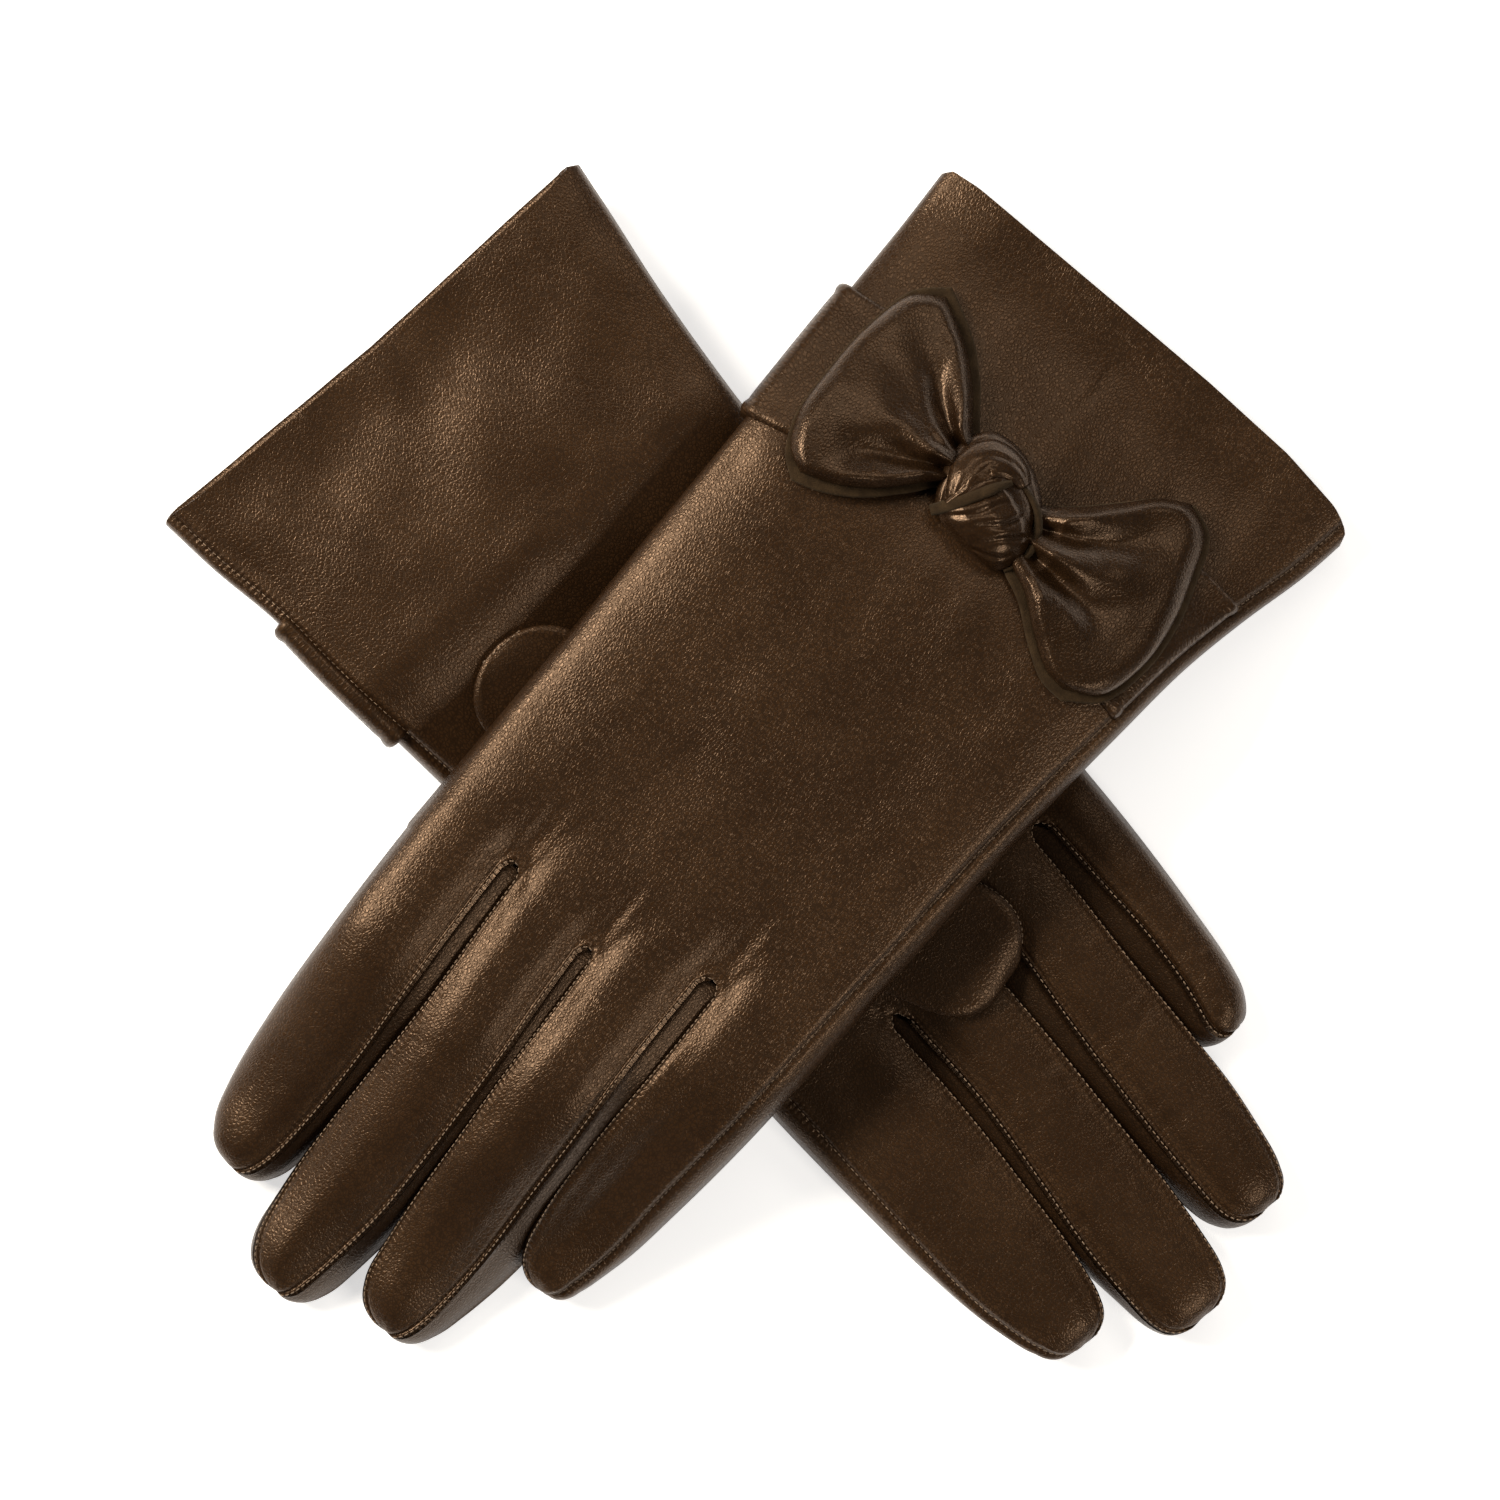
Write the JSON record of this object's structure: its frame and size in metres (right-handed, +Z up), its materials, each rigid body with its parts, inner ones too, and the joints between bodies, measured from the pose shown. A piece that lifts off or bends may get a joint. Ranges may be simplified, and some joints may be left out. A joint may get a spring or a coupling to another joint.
{
  "type": "leather gloves",
  "caption": "Pair of ladies' dark brown leather gloves with a knotted bow at the wrist, lying crossed, with fingers that fold and thumbs that swing.",
  "frame": {"origin": "middle of the pair as it lies on a table, on the table surface", "axes": "+Z up from the table; +Y away from the viewer and +X to the right as the pair is seen from above with its cuffs at the top"},
  "size_m": [0.2368, 0.2373, 0.0352],
  "materials": {
    "glove_leather": "satin, fine pebbled grain",
    "side_leather": "satin, fine pebbled grain",
    "band_leather": "satin",
    "bow_leather": "satin, creased",
    "suede": "matte flesh side",
    "lining": "matte knit",
    "stitching": "waxed thread"
  },
  "bodies": {
    "left_hand": {"left_back_panel": "glove_leather", "left_palm_panel": "glove_leather", "left_lining": "lining", "left_cuff_facing": "band_leather", "left_wrist_band": "band_leather", "left_bow_wing_outer": "bow_leather", "left_bow_wing_inner": "bow_leather", "left_bow_knot": "bow_leather", "left_thumb_base": "glove_leather", "left_fourchette_little_ring": "side_leather", "left_fourchette_ring_middle": "side_leather", "left_fourchette_middle_index": "side_leather"},
    "left_thumb": {"left_thumb_front": "glove_leather", "left_thumb_rear": "glove_leather"},
    "left_little": {"left_little_tip_back": "glove_leather", "left_little_tip_palm": "glove_leather", "left_little_tip_side": "side_leather"},
    "left_ring": {"left_ring_tip_back": "glove_leather", "left_ring_tip_palm": "glove_leather", "left_ring_tip_sides": "side_leather"},
    "left_middle": {"left_middle_tip_back": "glove_leather", "left_middle_tip_palm": "glove_leather", "left_middle_tip_sides": "side_leather"},
    "left_index": {"left_index_tip_back": "glove_leather", "left_index_tip_palm": "glove_leather", "left_index_tip_side": "side_leather"},
    "right_hand": {"right_back_panel": "glove_leather", "right_palm_panel": "glove_leather", "right_lining": "lining", "right_cuff_facing": "band_leather", "right_wrist_band": "band_leather", "right_bow_wing_outer": "bow_leather", "right_bow_wing_inner": "bow_leather", "right_bow_knot": "bow_leather", "right_thumb_base": "glove_leather", "right_fourchette_little_ring": "side_leather", "right_fourchette_ring_middle": "side_leather", "right_fourchette_middle_index": "side_leather"},
    "right_thumb": {"right_thumb_front": "glove_leather", "right_thumb_rear": "glove_leather"},
    "right_little": {"right_little_tip_back": "glove_leather", "right_little_tip_palm": "glove_leather", "right_little_tip_side": "side_leather"},
    "right_ring": {"right_ring_tip_back": "glove_leather", "right_ring_tip_palm": "glove_leather", "right_ring_tip_sides": "side_leather"},
    "right_middle": {"right_middle_tip_back": "glove_leather", "right_middle_tip_palm": "glove_leather", "right_middle_tip_sides": "side_leather"},
    "right_index": {"right_index_tip_back": "glove_leather", "right_index_tip_palm": "glove_leather", "right_index_tip_side": "side_leather"}
  },
  "joints": [
    {"name": "left_glove_lift", "type": "slide", "parent": "right_hand", "child": "left_hand", "axis": [0, 0, 1], "range_m": [0, 0.12]},
    {"name": "left_little_bend", "type": "hinge", "parent": "left_hand", "child": "left_little", "pos_m": [-0.01635, -0.07741, 0.0264], "axis": [-0.7638, 0.6455, 0], "range_deg": [0, 60]},
    {"name": "left_ring_bend", "type": "hinge", "parent": "left_hand", "child": "left_ring", "pos_m": [-0.03624, -0.06846, 0.03069], "axis": [-0.7638, 0.6455, 0], "range_deg": [0, 60]},
    {"name": "left_middle_bend", "type": "hinge", "parent": "left_hand", "child": "left_middle", "pos_m": [-0.05424, -0.05325, 0.0308], "axis": [-0.7638, 0.6455, 0], "range_deg": [0, 60]},
    {"name": "left_index_bend", "type": "hinge", "parent": "left_hand", "child": "left_index", "pos_m": [-0.07311, -0.0373, 0.03075], "axis": [-0.7638, 0.6455, 0], "range_deg": [0, 60]},
    {"name": "left_thumb_swing", "type": "hinge", "parent": "left_hand", "child": "left_thumb", "pos_m": [-0.00976, 0.02307, 0.0176], "axis": [0, 0, -1], "range_deg": [0, 30]},
    {"name": "right_little_bend", "type": "hinge", "parent": "right_hand", "child": "right_little", "pos_m": [0.07325, -0.02718, 0.0112], "axis": [-0.7513, -0.66, 0], "range_deg": [0, 60]},
    {"name": "right_ring_bend", "type": "hinge", "parent": "right_hand", "child": "right_ring", "pos_m": [0.06146, -0.04553, 0.0112], "axis": [-0.7513, -0.66, 0], "range_deg": [0, 60]},
    {"name": "right_middle_bend", "type": "hinge", "parent": "right_hand", "child": "right_middle", "pos_m": [0.04376, -0.06108, 0.0112], "axis": [-0.7513, -0.66, 0], "range_deg": [0, 60]},
    {"name": "right_index_bend", "type": "hinge", "parent": "right_hand", "child": "right_index", "pos_m": [0.02519, -0.07739, 0.0112], "axis": [-0.7513, -0.66, 0], "range_deg": [0, 60]},
    {"name": "right_thumb_swing", "type": "hinge", "parent": "right_hand", "child": "right_thumb", "pos_m": [-0.02515, -0.0058, 0.0133], "axis": [0, 0, -1], "range_deg": [0, 30]}
  ]
}
